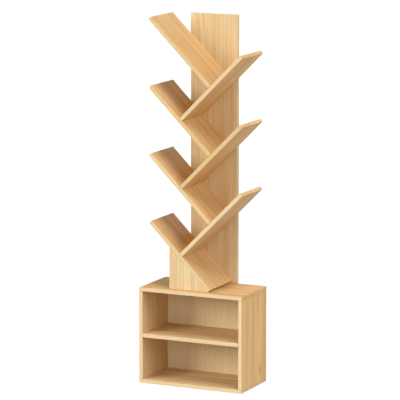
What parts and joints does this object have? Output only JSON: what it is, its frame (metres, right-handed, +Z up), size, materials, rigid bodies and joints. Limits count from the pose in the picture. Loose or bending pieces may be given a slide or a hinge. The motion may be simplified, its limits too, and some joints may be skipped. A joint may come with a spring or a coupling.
{
  "type": "tree shaped bookshelf",
  "caption": "Free-standing bookshelf: an open two-compartment wooden cabinet carrying an upright trunk board with slanted branch boards that fork to the left and right.",
  "frame": {"origin": "on the floor under the middle of the cabinet, which is also the middle of the whole part's box", "axes": "+Z up, +Y to the back, towards the wall, and +X to the right as one faces the shelf"},
  "size_m": [0.45, 0.24, 1.4726],
  "materials": {
    "cabinet_wood": "satin, pale warm wood with a fine straight grain",
    "tree_wood": "satin, pale warm wood with a fine straight grain",
    "back_panel": "matt, thin panel with a fine straight grain",
    "dowel_wood": "bare turned hardwood",
    "screw_steel": "zinc plated"
  },
  "bodies": {
    "root": {"cabinet_top": "cabinet_wood", "cabinet_bottom": "cabinet_wood", "cabinet_side_left": "cabinet_wood", "cabinet_side_right": "cabinet_wood", "cabinet_shelf": "cabinet_wood", "cabinet_back": "back_panel", "trunk_board": "tree_wood", "support_panel": "tree_wood", "branch_1_left": "tree_wood", "branch_2_right": "tree_wood", "branch_3_left": "tree_wood", "branch_4_right": "tree_wood", "branch_5_left": "tree_wood", "branch_6_right": "tree_wood", "branch_7_left": "tree_wood", "branch_1_screw_low": "screw_steel", "branch_1_screw_high": "screw_steel", "branch_2_screw_low": "screw_steel", "branch_2_screw_high": "screw_steel", "branch_3_screw_low": "screw_steel", "branch_3_screw_high": "screw_steel", "branch_4_screw_low": "screw_steel", "branch_4_screw_high": "screw_steel", "branch_5_screw_low": "screw_steel", "branch_5_screw_high": "screw_steel", "branch_6_screw_low": "screw_steel", "branch_6_screw_high": "screw_steel", "branch_7_screw_low": "screw_steel", "branch_7_screw_high": "screw_steel", "trunk_screw_left": "screw_steel", "trunk_screw_right": "screw_steel", "support_screw_left": "screw_steel", "support_screw_right": "screw_steel", "base_screw_left_front": "screw_steel", "base_screw_left_back": "screw_steel", "base_screw_right_front": "screw_steel", "base_screw_right_back": "screw_steel", "branch_2_dowel_front": "dowel_wood", "branch_2_dowel_back": "dowel_wood", "branch_3_dowel_front": "dowel_wood", "branch_3_dowel_back": "dowel_wood", "branch_4_dowel_front": "dowel_wood", "branch_4_dowel_back": "dowel_wood", "branch_5_dowel_front": "dowel_wood", "branch_5_dowel_back": "dowel_wood", "branch_6_dowel_front": "dowel_wood", "branch_6_dowel_back": "dowel_wood", "branch_7_dowel_front": "dowel_wood", "branch_7_dowel_back": "dowel_wood", "support_dowel": "dowel_wood", "top_dowel_left_front": "dowel_wood", "top_dowel_left_middle": "dowel_wood", "top_dowel_left_back": "dowel_wood", "top_dowel_right_front": "dowel_wood", "top_dowel_right_middle": "dowel_wood", "top_dowel_right_back": "dowel_wood", "shelf_dowel_left_front": "dowel_wood", "shelf_dowel_left_back": "dowel_wood", "shelf_dowel_right_front": "dowel_wood", "shelf_dowel_right_back": "dowel_wood"}
  },
  "joints": []
}
